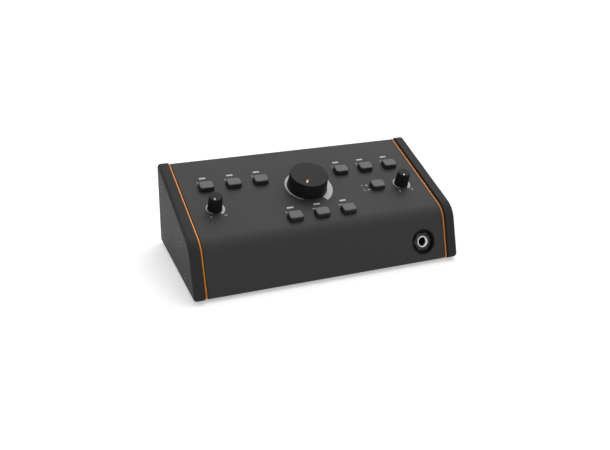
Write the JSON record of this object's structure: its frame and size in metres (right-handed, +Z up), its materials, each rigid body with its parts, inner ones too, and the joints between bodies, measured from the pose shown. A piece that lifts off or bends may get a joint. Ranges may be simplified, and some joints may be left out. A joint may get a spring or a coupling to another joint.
{
  "type": "studio monitor controller",
  "caption": "Desktop monitor controller: sloping steel panel between side cheeks, large volume knob, small knobs, push buttons and sockets.",
  "frame": {"origin": "middle of the footprint, on the surface that the feet stand on", "axes": "+X to the user's right, -Y towards the user, +Z up"},
  "size_m": [0.2414, 0.1216, 0.0785],
  "materials": {
    "case_paint": "fine matt black powder paint",
    "cheek_black": "smooth matt black",
    "trim_orange": "glossy orange paint",
    "black_steel": "blackened",
    "foot_rubber": "matt",
    "board_green": "solder mask",
    "moulded_black": "moulded",
    "light_window": "frosted clear plastic, unlit",
    "zinc_steel": "plated",
    "bright_chrome": "polished",
    "blackened_steel": "blackened",
    "turned_aluminium": "turned",
    "ribbon_grey": "flat cable",
    "knob_black": "smooth moulded",
    "pointer_orange": "inlaid",
    "pointer_white": "inlaid",
    "cap_grey": "smooth moulded"
  },
  "bodies": {
    "case": {"top_cover": "case_paint", "side_brackets": "zinc_steel", "base_pan": "case_paint", "rear_panel": "case_paint", "left_trim_plate": "trim_orange", "right_trim_plate": "trim_orange", "left_cheek": "cheek_black", "right_cheek": "cheek_black", "cheek_screws": "black_steel", "case_screws": "black_steel", "rubber_feet": "foot_rubber", "control_board": "board_green", "control_board_posts": "moulded_black", "switch_bodies": "moulded_black", "light_pipes": "light_window", "lights": "light_window", "volume_pot": "zinc_steel", "volume_pot_nut": "zinc_steel", "source_level_pot": "moulded_black", "phones_level_pot": "moulded_black", "socket_board": "board_green", "socket_board_posts": "moulded_black", "relays": "moulded_black", "capacitors": "turned_aluminium", "ribbon_headers": "moulded_black", "ribbon_cable": "ribbon_grey", "phones_lead": "ribbon_grey", "speaker_output_jacks": "moulded_black", "source_input_jacks": "moulded_black", "jack_nuts": "zinc_steel", "aux_jack": "moulded_black", "power_inlet": "moulded_black", "power_switch": "moulded_black", "phones_cup": "moulded_black", "phones_jack": "moulded_black", "phones_bush": "bright_chrome", "phones_nut": "blackened_steel", "phones_board": "board_green"},
    "volume_control": {"volume_knob": "knob_black", "volume_pointer": "pointer_orange", "volume_shaft": "turned_aluminium"},
    "source_level_control": {"source_level_knob": "knob_black", "source_level_pointer": "pointer_white", "source_level_shaft": "turned_aluminium"},
    "phones_level_control": {"phones_level_knob": "knob_black", "phones_level_pointer": "pointer_white", "phones_level_shaft": "turned_aluminium"},
    "power_push": {"power_button": "cap_grey"},
    "source_1_push": {"button_source_1": "cap_grey"},
    "source_2_push": {"button_source_2": "cap_grey"},
    "source_3_push": {"button_source_3": "cap_grey"},
    "speaker_1_push": {"button_speaker_1": "cap_grey"},
    "speaker_2_push": {"button_speaker_2": "cap_grey"},
    "speaker_3_push": {"button_speaker_3": "cap_grey"},
    "mono_push": {"button_mono": "cap_grey"},
    "dim_push": {"button_dim": "cap_grey"},
    "mute_push": {"button_mute": "cap_grey"},
    "phones_push": {"button_phones": "cap_grey"}
  },
  "joints": [
    {"name": "volume_turn", "type": "hinge", "parent": "case", "child": "volume_control", "pos_m": [0, 0.00488, 0.06022], "axis": [0, 0.3014, -0.9535], "range_deg": [0, 300]},
    {"name": "source_level_turn", "type": "hinge", "parent": "case", "child": "source_level_control", "pos_m": [-0.0875, -0.00704, 0.05646], "axis": [0, 0.3014, -0.9535], "range_deg": [0, 300]},
    {"name": "phones_level_turn", "type": "hinge", "parent": "case", "child": "phones_level_control", "pos_m": [0.0875, -0.00704, 0.05646], "axis": [0, 0.3014, -0.9535], "range_deg": [0, 300]},
    {"name": "source_1_press", "type": "slide", "parent": "case", "child": "source_1_push", "axis": [0, 0.3014, -0.9535], "range_m": [0, 0.0025], "stiffness_N_per_m": 400, "springref_m": -0.0015},
    {"name": "source_2_press", "type": "slide", "parent": "case", "child": "source_2_push", "axis": [0, 0.3014, -0.9535], "range_m": [0, 0.0025], "stiffness_N_per_m": 400, "springref_m": -0.0015},
    {"name": "source_3_press", "type": "slide", "parent": "case", "child": "source_3_push", "axis": [0, 0.3014, -0.9535], "range_m": [0, 0.0025], "stiffness_N_per_m": 400, "springref_m": -0.0015},
    {"name": "speaker_1_press", "type": "slide", "parent": "case", "child": "speaker_1_push", "axis": [0, 0.3014, -0.9535], "range_m": [0, 0.0025], "stiffness_N_per_m": 400, "springref_m": -0.0015},
    {"name": "speaker_2_press", "type": "slide", "parent": "case", "child": "speaker_2_push", "axis": [0, 0.3014, -0.9535], "range_m": [0, 0.0025], "stiffness_N_per_m": 400, "springref_m": -0.0015},
    {"name": "speaker_3_press", "type": "slide", "parent": "case", "child": "speaker_3_push", "axis": [0, 0.3014, -0.9535], "range_m": [0, 0.0025], "stiffness_N_per_m": 400, "springref_m": -0.0015},
    {"name": "mono_press", "type": "slide", "parent": "case", "child": "mono_push", "axis": [0, 0.3014, -0.9535], "range_m": [0, 0.0025], "stiffness_N_per_m": 400, "springref_m": -0.0015},
    {"name": "dim_press", "type": "slide", "parent": "case", "child": "dim_push", "axis": [0, 0.3014, -0.9535], "range_m": [0, 0.0025], "stiffness_N_per_m": 400, "springref_m": -0.0015},
    {"name": "mute_press", "type": "slide", "parent": "case", "child": "mute_push", "axis": [0, 0.3014, -0.9535], "range_m": [0, 0.0025], "stiffness_N_per_m": 400, "springref_m": -0.0015},
    {"name": "phones_press", "type": "slide", "parent": "case", "child": "phones_push", "axis": [0, 0.3014, -0.9535], "range_m": [0, 0.0025], "stiffness_N_per_m": 400, "springref_m": -0.0015},
    {"name": "power_press", "type": "slide", "parent": "case", "child": "power_push", "axis": [0, -1, 0], "range_m": [0, 0.0025], "stiffness_N_per_m": 500, "springref_m": -0.0015}
  ]
}
